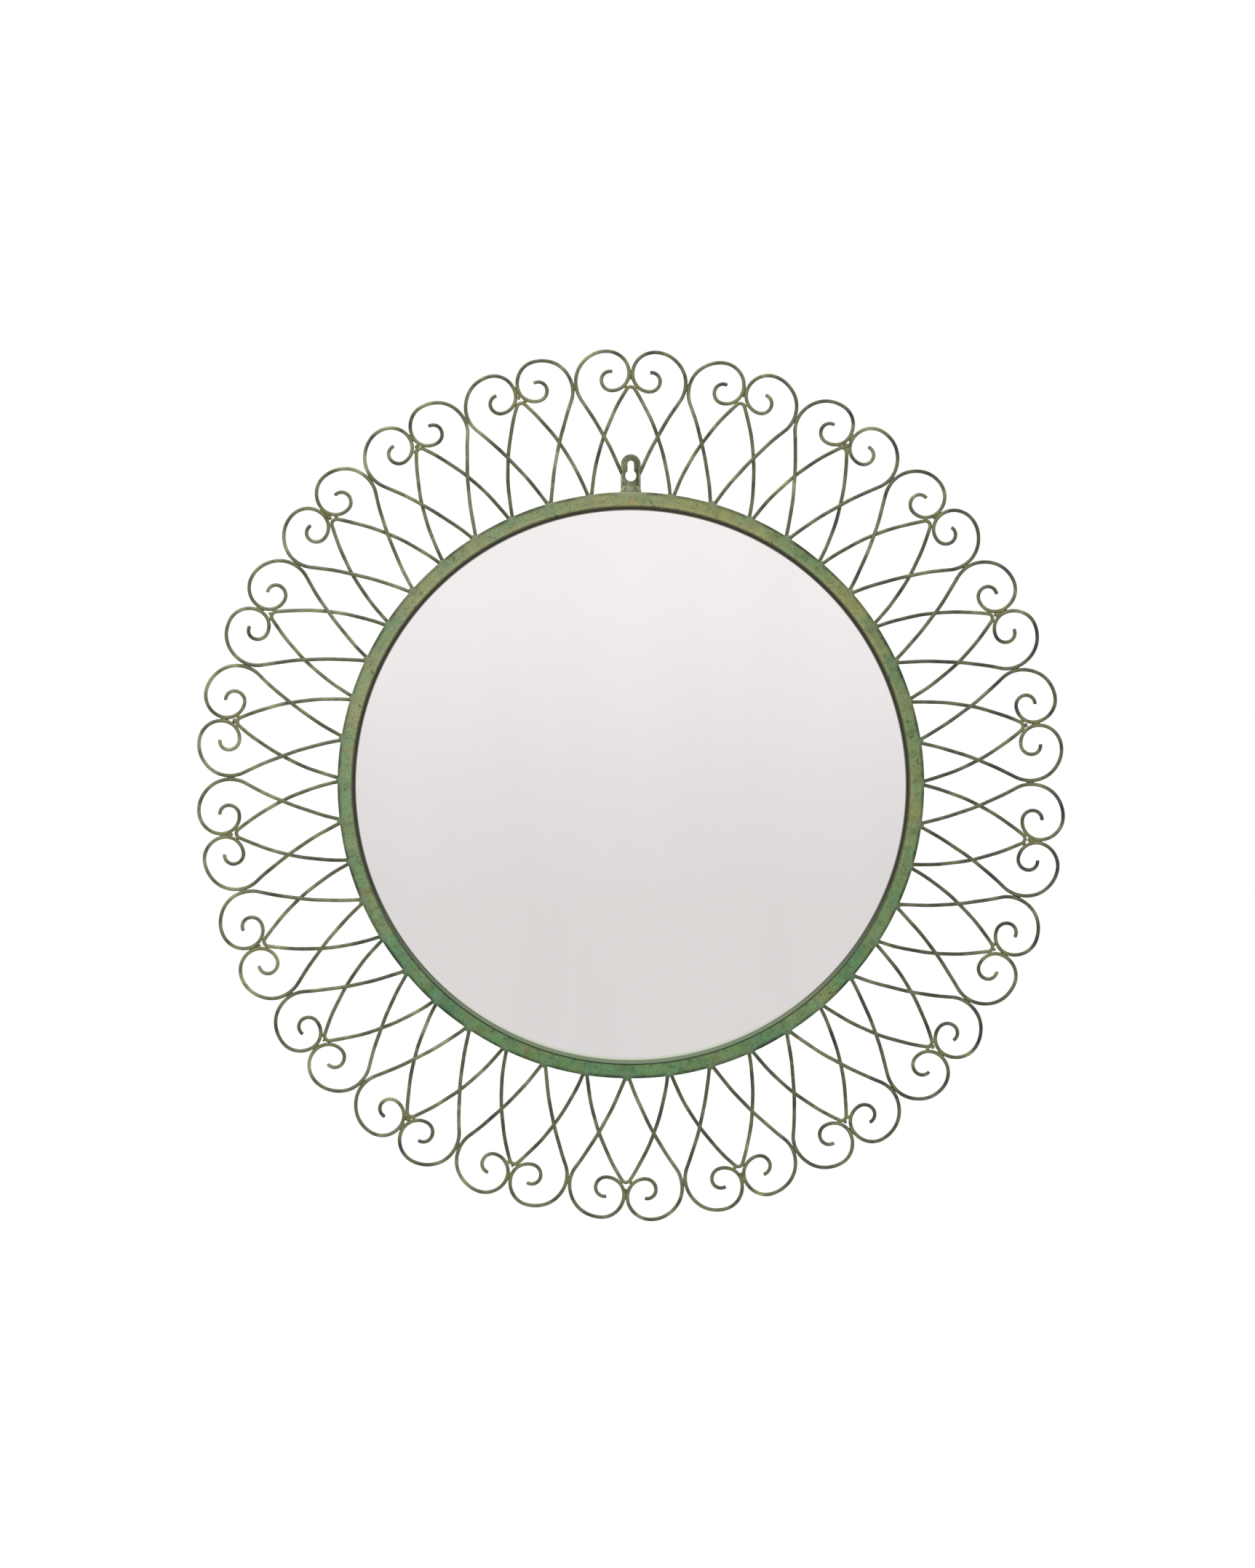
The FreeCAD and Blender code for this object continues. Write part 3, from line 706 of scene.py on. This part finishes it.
def colour(code):
    """A linear colour from an sRGB hex value."""
    parts = [int(code[i:i + 2], 16) / 255 for i in (1, 3, 5)]
    linear = [p / 12.92 if p <= 0.04045 else ((p + 0.055) / 1.055) ** 2.4 for p in parts]
    return (*linear, 1.0)


def add(tree, kind, links=None, stops=None, **settings):
    """A node with its settings and links; kind is its type without ShaderNode in front.

    links gives each input a value, a hex colour, an output, or a node, which stands for the first
    output that it has in use. stops are a ramp's places, each with a hex colour or a grey's level.
    """
    made = tree.nodes.new("ShaderNode" + kind)
    for key, value in settings.items():
        setattr(made, key, value)
    for key, value in (links or {}).items():
        if isinstance(value, bpy.types.Node):
            value = next(output for output in value.outputs if output.enabled)
        if isinstance(value, bpy.types.NodeSocket):
            tree.links.new(value, made.inputs[key])
        else:
            made.inputs[key].default_value = colour(value) if isinstance(value, str) else value
    for i, (position, shade) in enumerate(stops or []):
        ramp = made.color_ramp.elements
        element = ramp[i] if i < len(ramp) else ramp.new(position)
        element.position = position
        element.color = colour(shade) if isinstance(shade, str) else (shade, shade, shade, 1.0)
    return made


def empty_tree(owner):
    """The node tree of a material or of the world, with nothing in it yet."""
    owner.use_nodes = True
    owner.node_tree.nodes.clear()
    return owner.node_tree


def make_material(finish):
    """A material with a finish's name; the finish gives the inputs of its principled shader."""
    material = bpy.data.materials.new(finish.__name__)
    tree = empty_tree(material)
    place = add(tree, "TexCoord").outputs["Object"]
    shader = add(tree, "BsdfPrincipled", finish(tree, place))
    add(tree, "OutputMaterial", {"Surface": shader})
    return material


def worked(tree, pattern, rough, height, strength, depth):
    """A worked surface: roughness that follows a pattern between two ends, and its relief."""
    roughness = add(tree, "MapRange", {"Value": pattern, "To Min": rough[0], "To Max": rough[1]})
    relief = add(tree, "Bump", {"Height": height, "Strength": strength, "Distance": depth})
    return {"Roughness": roughness, "Normal": relief}


def joint_marks(tree):
    """The red, green and blue of the piece's own point colours."""
    marks = add(tree, "Attribute", attribute_name="joints", attribute_type="GEOMETRY")
    return add(tree, "SeparateColor", {0: marks}).outputs


def from_axis(tree, place):
    """The place measured from the mirror's middle, the same without its depth, and its radius."""
    centred = add(tree, "Mapping", {"Vector": place, "Location": (0, 0, -AXIS_Z)})
    flat = add(tree, "VectorMath", {0: centred, 1: (1, 0, 1)}, operation="MULTIPLY")
    return centred, flat, add(tree, "VectorMath", {0: flat}, operation="LENGTH")


def verdigris_paint(tree, place):
    """Verdigris paint rubbed over steel: dabs across the rim, green over olive, rubbed to brown.

    To the eye it is dull and mottled, greener at the foot and left, more yellow and lighter at the
    top, where the lightness is partly painted light from above. Painted light makes it paler at the
    upper left and lays a painted highlight along the face's inner edge, strongest at the top.
    Painted shade darkens the outer edge and the inner crease, the wall to the lip is painted pale
    at the foot and dark elsewhere as painted light and shade, and the welds are paler.
    """
    centred, flat, radius = from_axis(tree, place)
    ray = add(tree, "VectorMath", {0: flat}, operation="NORMALIZE")
    around = add(tree, "VectorMath", {0: ray, "Scale": RIM_RADIUS}, operation="SCALE")
    across = add(tree, "Math", {0: radius, 1: 0.5}, operation="MULTIPLY")
    across = add(tree, "CombineXYZ", {"Y": across})
    dab_place = add(tree, "VectorMath", {0: around, 1: across})
    patches, dabs, grain, rubbed, soil = (
        add(tree, "TexNoise", {
            "Vector": where, "Scale": 1 / (width * MM), "Detail": detail, "Roughness": rough,
            "Distortion": bent})
        for where, width, detail, rough, bent in (
            (centred, 34, 5.0, 0.6, 0.0), (dab_place, 6.5, 4.0, 0.62, 0.3),
            (centred, 1.3, 3.0, 0.6, 0.0), (dab_place, 17, 6.0, 0.7, 0.6),
            (centred, 6, 3.0, 0.6, 0.8)))

    # the paint under its coats, more yellow and lighter at the top; the lightness is partly painted
    # light from above
    yellower_and_lighter, top = 0.13, (0.35, 0, 0.85)
    toward = add(tree, "VectorMath", {0: ray, 1: top}, operation="DOT_PRODUCT")
    lean = add(tree, "Math", {0: toward, 1: yellower_and_lighter, 2: patches}, operation="MULTIPLY_ADD")
    paint = add(tree, "ValToRGB", {"Fac": lean}, stops=[
        (0.28, "#3a6750"), (0.38, "#48754b"), (0.50, "#61774e"), (0.61, "#7a7f53"),
        (0.74, "#90864f")])
    dab_shade = add(tree, "ValToRGB", {"Fac": dabs}, stops=[
        (0.30, "#3d4a34"), (0.42, "#5b6c47"), (0.52, "#6f8156"), (0.63, "#678c63"),
        (0.78, "#98905f")])
    # painted light: paler towards the upper left, where the light comes from
    upper_left = (-0.77, 0, 0.64)
    painted_light_left = add(tree, "VectorMath", {0: ray, 1: upper_left}, operation="DOT_PRODUCT")
    painted_light_left = add(tree, "MapRange", {"Value": painted_light_left, "To Max": 0.17})
    rubbed = add(tree, "ValToRGB", {"Fac": rubbed}, stops=[(0.57, 0.0), (0.70, 0.6)])
    up = add(tree, "SeparateXYZ", {0: ray}).outputs["Z"]
    above = add(tree, "MapRange", {"Value": up, "From Min": -0.6, "From Max": 0.6, "To Max": 0.35})
    # painted highlight: a pale band along the face's inner edge, strongest at the top
    painted_edge_highlight = add(tree, "MapRange", {
        "Value": radius, "From Min": RIM_INNER + 1.0 * MM, "From Max": RIM_INNER + 3.2 * MM,
        "To Min": above, "To Max": 0.0})
    marks = joint_marks(tree)
    weld, rust, pale_weld = (
        add(tree, "Math", {0: marks[channel], 1: strength}, operation="MULTIPLY")
        for channel, strength in (("Red", 0.55), ("Green", 0.5), ("Blue", 0.75)))
    for share, coat in ((0.42, dab_shade), (painted_light_left, "#b4b99c"), (rubbed, "#73643f"),
                        (painted_edge_highlight, "#a09f74"), (weld, "#64755f"), (rust, "#a0834f"),
                        (pale_weld, "#8d9674")):
        paint = add(tree, "Mix", {0: share, COLOUR_A: paint, COLOUR_B: coat}, data_type="RGBA")

    # darkening: painted shade along the rounded outer edge, broken and not on welds, painted shade
    # in the inner crease, darkest at the foot, and dirt in specks and in patches
    broken = add(tree, "MapRange", {
        "Value": patches, "From Min": 0.40, "From Max": 0.58, "To Min": 0.8, "To Max": 0.4})
    off_weld = add(tree, "MapRange", {"Value": marks["Red"], "To Min": broken, "To Max": 0.0})
    edge = add(tree, "MapRange", {
        "Value": radius, "From Min": RIM_RADIUS - 2.8 * MM, "From Max": RIM_RADIUS - 1.2 * MM,
        "To Max": off_weld})
    edge = add(tree, "Math", {0: 1.0, 1: edge}, operation="SUBTRACT")
    high = add(tree, "MapRange", {"Value": up, "From Min": -0.8, "From Max": -0.35})
    # painted shade in the inner crease, darker at the foot
    painted_crease_shade = add(tree, "MapRange", {"Value": high, "To Min": 0.1, "To Max": 0.5})
    painted_crease_shade = add(tree, "MapRange", {
        "Value": radius, "From Min": RIM_INNER + 0.1 * MM, "From Max": RIM_INNER + 1.1 * MM,
        "To Min": painted_crease_shade})
    specks = add(tree, "ValToRGB", {"Fac": grain}, stops=[(0.30, 0.5), (0.46, 1.0)])
    soil = add(tree, "ValToRGB", {"Fac": soil}, stops=[(0.63, 1.0), (0.69, 0.5)])
    for darkening in (edge, painted_crease_shade, specks, soil):
        paint = add(tree, "Mix", {0: 1.0, COLOUR_A: paint, COLOUR_B: darkening},
                    data_type="RGBA", blend_type="MULTIPLY")

    # the wall that leans in to the lip, in painted light and shade: pale at the foot, where it
    # faces up, dark elsewhere
    on_wall = add(tree, "MapRange", {
        "Value": radius, "From Min": RIM_INNER - 0.5 * MM, "From Max": RIM_INNER - 0.1 * MM,
        "To Min": 0.95, "To Max": 0.0})
    wall = add(tree, "Mix", {0: high, COLOUR_A: "#66735b", COLOUR_B: "#25230f"}, data_type="RGBA")
    paint = add(tree, "Mix", {0: on_wall, COLOUR_A: paint, COLOUR_B: wall}, data_type="RGBA")
    relief = add(tree, "Math", {0: dabs, 1: 2.2, 2: grain}, operation="MULTIPLY_ADD")
    return {"Base Color": paint, "Specular IOR Level": 0.2,
            **worked(tree, dabs, (0.48, 0.72), relief, 0.55, 0.09 * MM)}


def patinated_wire(tree, place):
    """Round steel wire under a thin olive patina, brushed on and rubbed back.

    To the eye it is dark olive brown with a soft sheen, painted a little paler towards the left as
    painted light from that side, more yellow where it was brazed, greener where it stands on the
    rim, and khaki at the other contacts.
    """
    patches = add(tree, "TexNoise", {
        "Vector": place, "Scale": 1 / (20 * MM), "Detail": 4.0, "Roughness": 0.6})
    grain = add(tree, "TexNoise", {
        "Vector": place, "Scale": 1 / (0.9 * MM), "Detail": 3.0, "Roughness": 0.65})
    centred = add(tree, "Mapping", {"Vector": place, "Location": (0, 0, -AXIS_Z)})
    # painted light: paler towards the left, where the light comes from
    paler_by_metre, left = 0.18, (-0.94, 0, 0.34)
    painted_light_left = add(tree, "VectorMath", {0: centred, 1: left}, operation="DOT_PRODUCT")
    painted_light_left = add(tree, "Math", {0: painted_light_left, 1: paler_by_metre, 2: patches}, operation="MULTIPLY_ADD")
    patina = add(tree, "ValToRGB", {"Fac": painted_light_left}, stops=[
        (0.326, "#1c1d14"), (0.441, "#42432f"), (0.555, "#626447"), (0.684, "#8a8c68")])
    marks = joint_marks(tree)
    for channel, shade in (("Green", "#59613b"), ("Blue", "#5e5f40"), ("Red", "#6e7049")):
        patina = add(tree, "Mix", {
            0: marks[channel], COLOUR_A: patina, COLOUR_B: shade}, data_type="RGBA")
    specks = add(tree, "ValToRGB", {"Fac": grain}, stops=[(0.32, 0.78), (0.52, 1.0)])
    patina = add(tree, "Mix", {0: 1.0, COLOUR_A: patina, COLOUR_B: specks},
                 data_type="RGBA", blend_type="MULTIPLY")
    return {"Base Color": patina, "Metallic": 0.15,
            **worked(tree, grain, (0.38, 0.6), grain, 0.5, 0.08 * MM)}


def dulled_brass(tree, place):
    """Brazing brass, cast in small beads and dulled: khaki yellow with olive in its hollows."""
    tarnish = add(tree, "TexNoise", {
        "Vector": place, "Scale": 1 / (2.6 * MM), "Detail": 4.0, "Roughness": 0.62})
    brass = add(tree, "ValToRGB", {"Fac": tarnish}, stops=[
        (0.32, "#47492c"), (0.46, "#5f6139"), (0.60, "#77784b"), (0.74, "#939266")])
    return {"Base Color": brass, "Metallic": 0.45,
            **worked(tree, tarnish, (0.6, 0.36), tarnish, 0.6, 0.15 * MM)}


def plate_patina(tree, place):
    """Pressed steel plate under olive paint: mottled and pale where rubbed, dark with dirt and
    painted shade.
    """
    patches = add(tree, "TexNoise", {
        "Vector": place, "Scale": 1 / (5.5 * MM), "Detail": 5.0, "Roughness": 0.65})
    patina = add(tree, "ValToRGB", {"Fac": patches}, stops=[
        (0.33, "#55573d"), (0.44, "#727457"), (0.55, "#8a8b6d"), (0.68, "#a2a388")])
    below_hole = (-0.5 * MM, plate_low.y, -HEAD_RADIUS - 4.5 * MM)
    away = add(tree, "VectorMath", {0: place, 1: below_hole}, operation="DISTANCE")
    rubbed = add(tree, "MapRange", {
        "Value": away, "From Min": 1.4 * MM, "From Max": 3.6 * MM, "To Min": 0.5, "To Max": 0.85})
    # dirt and painted shade from the point colours, less in the rubbed patch below the hole
    dirt_and_shade = add(tree, "Math", {0: joint_marks(tree)["Red"], 1: rubbed}, operation="MULTIPLY")
    patina = add(tree, "Mix", {0: dirt_and_shade, COLOUR_A: patina, COLOUR_B: "#343a22"}, data_type="RGBA")
    return {"Base Color": patina, "Metallic": 0.25,
            **worked(tree, patches, (0.42, 0.62), patches, 0.5, 0.12 * MM)}


def silvered_glass(tree, place):
    """Silvered float glass: a clean mirror, with the faintest film left by wiping.

    The silver is on the glass's back; beside the rim's lip its colour holds a painted reflection: a
    dark ring of painted shadow for the gap under the lip, paler at the foot, and at the foot a pale
    green line for the lip's paint where light falls on it.
    """
    wiped = add(tree, "Mapping", {
        "Vector": place, "Rotation": (0, math.radians(35), 0), "Scale": (1, 1, 0.25)})
    film = add(tree, "TexNoise", {
        "Vector": wiped, "Scale": 1 / (60 * MM), "Detail": 3.0, "Roughness": 0.5})
    rough = add(tree, "MapRange", {"Value": film, "To Min": 0.02, "To Max": 0.06})
    silver = add(tree, "ValToRGB", {"Fac": film}, stops=[(0.3, "#f6f5f5"), (0.7, "#f9f8f8")])
    centred, _, radius = from_axis(tree, place)
    height = add(tree, "SeparateXYZ", {0: centred}).outputs["Z"]
    # painted reflection at the lip: a pale green line at the foot and a dark ring of painted shadow
    low = add(tree, "MapRange", {
        "Value": height, "From Min": -0.7 * LIP_RADIUS, "From Max": -0.95 * LIP_RADIUS})
    painted_lit_line = add(tree, "MapRange", {
        "Value": radius, "From Min": LIP_RADIUS - 3.0 * MM, "From Max": LIP_RADIUS - 0.5 * MM,
        "To Max": low})
    gap = add(tree, "MapRange", {
        "Value": radius, "From Min": LIP_RADIUS - 0.9 * MM, "From Max": LIP_RADIUS - 0.35 * MM,
        "To Max": 0.9})
    painted_gap_shadow_colour = add(tree, "Mix", {0: low, COLOUR_A: "#55554a", COLOUR_B: "#94a385"},
                    data_type="RGBA")
    for share, shade in ((painted_lit_line, "#dde8cf"), (gap, painted_gap_shadow_colour)):
        silver = add(tree, "Mix", {0: share, COLOUR_A: silver, COLOUR_B: shade}, data_type="RGBA")
    return {"Base Color": silver, "Metallic": 1.0, "Roughness": rough}


def hardboard(tree, place):
    """Hardboard with its screen-marked back outwards: brown pressed fibre, rough and matt."""
    fibre = add(tree, "TexNoise", {
        "Vector": place, "Scale": 1 / (3.5 * MM), "Detail": 6.0, "Roughness": 0.7,
        "Distortion": 1.2})
    blotches = add(tree, "TexNoise", {"Vector": place, "Scale": 1 / (70 * MM), "Detail": 3.0})
    mixed = add(tree, "Math", {0: blotches, 1: 0.4, 2: fibre}, operation="MULTIPLY_ADD")
    brown = add(tree, "ValToRGB", {"Fac": mixed}, stops=[
        (0.45, "#5b3f29"), (0.62, "#79573a"), (0.78, "#8f6a49"), (0.92, "#a5825c")])
    parts = add(tree, "SeparateXYZ", {0: place}).outputs
    screen = 1.0
    for axis in ("X", "Z"):
        turn = add(tree, "Math", {0: parts[axis], 1: 2 * math.pi / SCREEN_PITCH},
                   operation="MULTIPLY")
        wave = add(tree, "Math", {0: turn}, operation="SINE")
        screen = add(tree, "Math", {0: screen, 1: wave}, operation="MULTIPLY")
    relief = add(tree, "Math", {0: fibre, 1: 1.6, 2: screen}, operation="MULTIPLY_ADD")
    relief = add(tree, "Bump", {"Height": relief, "Strength": 0.5, "Distance": 0.1 * MM})
    return {"Base Color": brown, "Roughness": 0.82, "Normal": relief}


def tinned_strip(tree, place):
    """Tinned steel strip, folded by hand: grey metal with dull stains and a little rust."""
    stains = add(tree, "TexNoise", {
        "Vector": place, "Scale": 1 / (4 * MM), "Detail": 5.0, "Roughness": 0.65})
    tin = add(tree, "ValToRGB", {"Fac": stains}, stops=[
        (0.30, "#7a6247"), (0.40, "#84837d"), (0.60, "#9c9d9a"), (0.75, "#b2b3b0")])
    return {"Base Color": tin, "Metallic": 0.85,
            **worked(tree, stains, (0.55, 0.3), stains, 0.4, 0.1 * MM)}


# stage

CAMERA_DISTANCE = 1.6
PHOTO_WIDTH, PHOTO_HEIGHT = 1725, 2156
MM_PER_PIXEL = 0.509
MIRROR_CENTRE_PX = (867.0, 1079.6)
FLOOR_DROP = 1.05
FLOOR_REACH = 2.2
FLOOR_SIDES = 64

# soft boxes: name, place, width and power
LAMPS = (("key", (-0.8, -1.2, 1.85), 1.3, 37), ("fill", (1.3, -1.9, 0.2), 1.6, 9),
         ("back", (0.4, 1.6, 0.9), 1.4, 14))


def make_world():
    """Plain soft room: white to the camera, a pale wall that darkens downwards to the glass.

    Glossy and transmission rays see the wall too, and a fill from above lights the object.
    """
    world = bpy.data.worlds.new("studio")
    bpy.context.scene.world = world
    tree = empty_tree(world)
    path = add(tree, "LightPath").outputs
    by_camera = seen = path["Is Camera Ray"]
    for ray in ("Is Glossy Ray", "Is Transmission Ray"):
        seen = add(tree, "Math", {0: seen, 1: path[ray]}, operation="ADD", use_clamp=True)
    look = add(tree, "TexCoord").outputs["Generated"]
    height = add(tree, "SeparateXYZ", {0: look}).outputs["Z"]
    spread = add(tree, "MapRange", {"Value": height, "From Min": -0.05, "From Max": 0.12})
    room = add(tree, "ValToRGB", {"Fac": spread}, stops=[
        (0.0, "#e2dfde"), (0.30, "#e9e6e6"), (0.55, "#f3efef"), (0.75, "#f9f4f5"),
        (1.0, "#fdf8f8")])
    shown = add(tree, "Mix", {0: by_camera, COLOUR_A: room, COLOUR_B: "#ffffff"}, data_type="RGBA")
    above = add(tree, "MapRange", {
        "Value": height, "From Min": -0.6, "From Max": 0.8, "To Min": 0.25, "To Max": 0.95})
    fill = add(tree, "Background", {"Color": "#ffffff", "Strength": above})
    direct = add(tree, "Background", {"Color": shown, "Strength": 1.0})
    both = add(tree, "MixShader", {0: seen, 1: fill, 2: direct})
    add(tree, "OutputWorld", {"Surface": both})


def make_lamps():
    """Square soft boxes that face the mirror."""
    centre = Vector((0, SCROLL_PLANE, AXIS_Z))
    for name, place, width, power in LAMPS:
        light = bpy.data.lights.new(name, "AREA")
        light.size = width
        light.energy = power
        lamp = put(name, light)
        lamp.location = place
        lamp.rotation_euler = (centre - Vector(place)).to_track_quat("-Z", "Y").to_euler()


def make_floor():
    """Pale floor under the mirror, which fades into the white room at its border."""
    fade_start, fade_end = 0.9, FLOOR_REACH * 0.97
    turn = np.linspace(0, 2 * np.pi, FLOOR_SIDES, endpoint=False)
    verts = np.stack([FLOOR_REACH * np.cos(turn), FLOOR_REACH * np.sin(turn),
                      np.full(FLOOR_SIDES, -FLOOR_DROP)], -1)
    mesh = bpy.data.meshes.new("floor")
    mesh.from_pydata(verts.tolist(), [], [list(range(FLOOR_SIDES))])
    material = bpy.data.materials.new("pale_floor")
    tree = empty_tree(material)
    place = add(tree, "TexCoord").outputs["Object"]
    flat = add(tree, "VectorMath", {0: place, 1: (1, 1, 0)}, operation="MULTIPLY")
    away = add(tree, "VectorMath", {0: flat}, operation="LENGTH")
    fade = add(tree, "MapRange", {"Value": away, "From Min": fade_start, "From Max": fade_end},
               interpolation_type="SMOOTHSTEP")
    matt = add(tree, "BsdfDiffuse", {"Color": "#f4f3f1"})
    bare = add(tree, "Emission", {"Color": "#ffffff", "Strength": 1.0})
    both = add(tree, "MixShader", {0: fade, 1: matt, 2: bare})
    add(tree, "OutputMaterial", {"Surface": both})
    mesh.materials.append(material)
    floor = put("floor", mesh)


def make_camera():
    """Camera square to the mirror, placed so that the mirror falls where the photograph has it."""
    across = (PHOTO_WIDTH / 2 - MIRROR_CENTRE_PX[0]) * MM_PER_PIXEL * MM
    up = (MIRROR_CENTRE_PX[1] - PHOTO_HEIGHT / 2) * MM_PER_PIXEL * MM
    data = bpy.data.cameras.new("camera")
    data.sensor_width = 36.0
    data.lens = data.sensor_width * CAMERA_DISTANCE / (PHOTO_HEIGHT * MM_PER_PIXEL * MM)
    camera = put("camera", data)
    camera.location = (across, SCROLL_PLANE - CAMERA_DISTANCE, AXIS_Z + up)
    camera.rotation_euler = (math.pi / 2, 0, 0)
    bpy.context.scene.camera = camera


paint = make_material(verdigris_paint)
wire = make_material(patinated_wire)
brass = make_material(dulled_brass)
hearts = [Heart(number) for number in range(1, HEART_COUNT + 1)]
for heart in hearts:
    make_scrolls(heart, wire)
    make_arch(heart, wire)
make_beads(hearts, brass, wire)
make_foot_welds(hearts, paint)
make_rim(paint)
make_plate(make_material(plate_patina))
make_plate_welds(paint, wire)
for node, finish in (("mirror_glass", silvered_glass), ("backing_board", hardboard),
                     ("backing_tabs", tinned_strip)):
    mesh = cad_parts[node].data
    mesh.materials.clear()
    mesh.materials.append(make_material(finish))

make_world()
make_floor()
make_lamps()
make_camera()
bpy.context.scene.view_settings.view_transform = "Standard"
